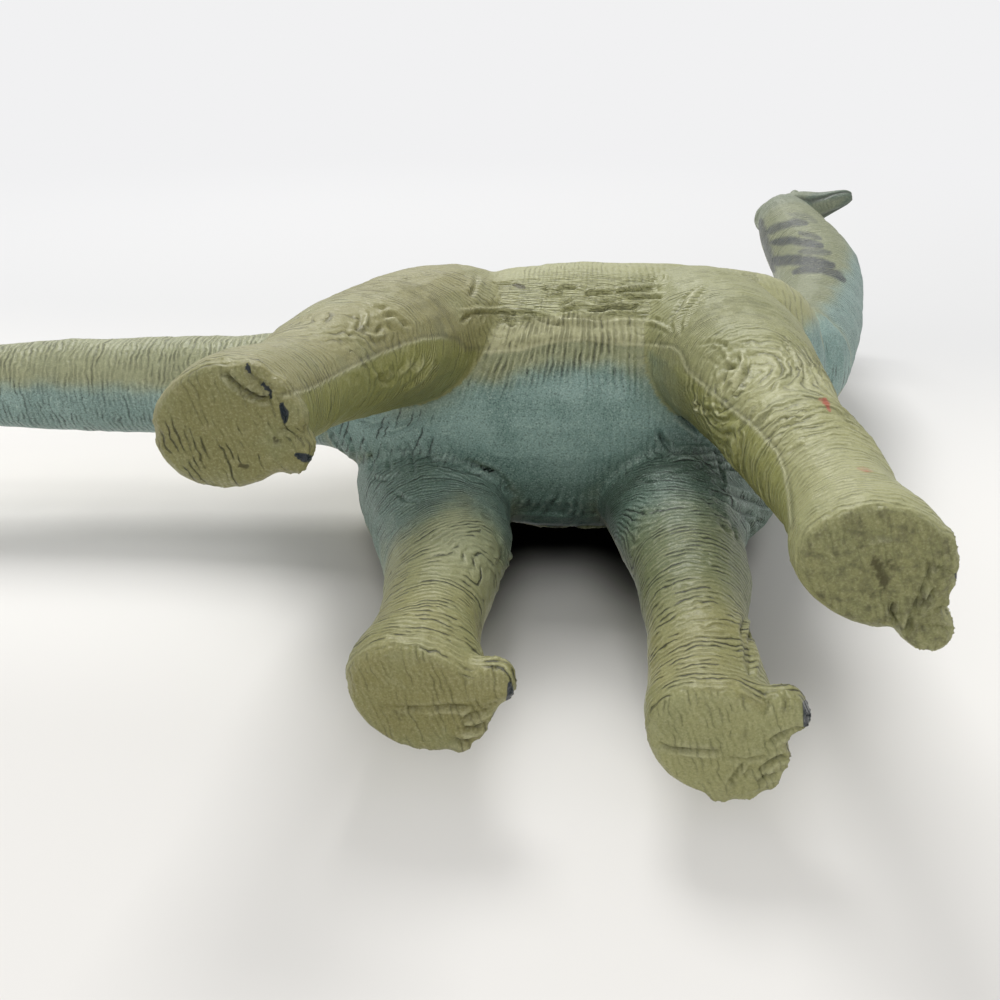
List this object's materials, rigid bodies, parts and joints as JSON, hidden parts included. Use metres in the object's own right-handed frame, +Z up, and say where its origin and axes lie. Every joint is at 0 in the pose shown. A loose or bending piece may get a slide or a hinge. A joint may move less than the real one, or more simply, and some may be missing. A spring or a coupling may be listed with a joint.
{
  "type": "toy dinosaur figure",
  "caption": "Long-necked toy dinosaur in a walking pose, standing on its feet, with a trunk, a belly panel, legs, a neck, a head and a tail.",
  "frame": {"origin": "on the ground plane under the middle of the bounding box", "axes": "+X towards the animal's front, +Y to its left, +Z up; it stands on four flat soles at Z = 0"},
  "size_m": [0.2928, 0.0638, 0.2555],
  "materials": {
    "torso_skin": "satin painted soft PVC with moulded skin texture",
    "belly_skin": "satin painted soft PVC with moulded skin texture",
    "right_front_leg_skin": "satin painted soft PVC with moulded skin texture",
    "left_front_leg_skin": "satin painted soft PVC with moulded skin texture",
    "right_hind_leg_skin": "satin painted soft PVC with moulded skin texture",
    "left_hind_leg_skin": "satin painted soft PVC with moulded skin texture",
    "neck_skin": "satin painted soft PVC with moulded skin texture",
    "head_skin": "satin painted soft PVC with moulded skin texture",
    "tail_skin": "satin painted soft PVC with moulded skin texture"
  },
  "bodies": {
    "root": {"torso": "torso_skin", "belly_panel": "belly_skin", "right_front_leg": "right_front_leg_skin", "left_front_leg": "left_front_leg_skin", "right_hind_leg": "right_hind_leg_skin", "left_hind_leg": "left_hind_leg_skin", "neck": "neck_skin", "head": "head_skin", "tail": "tail_skin"}
  },
  "joints": []
}
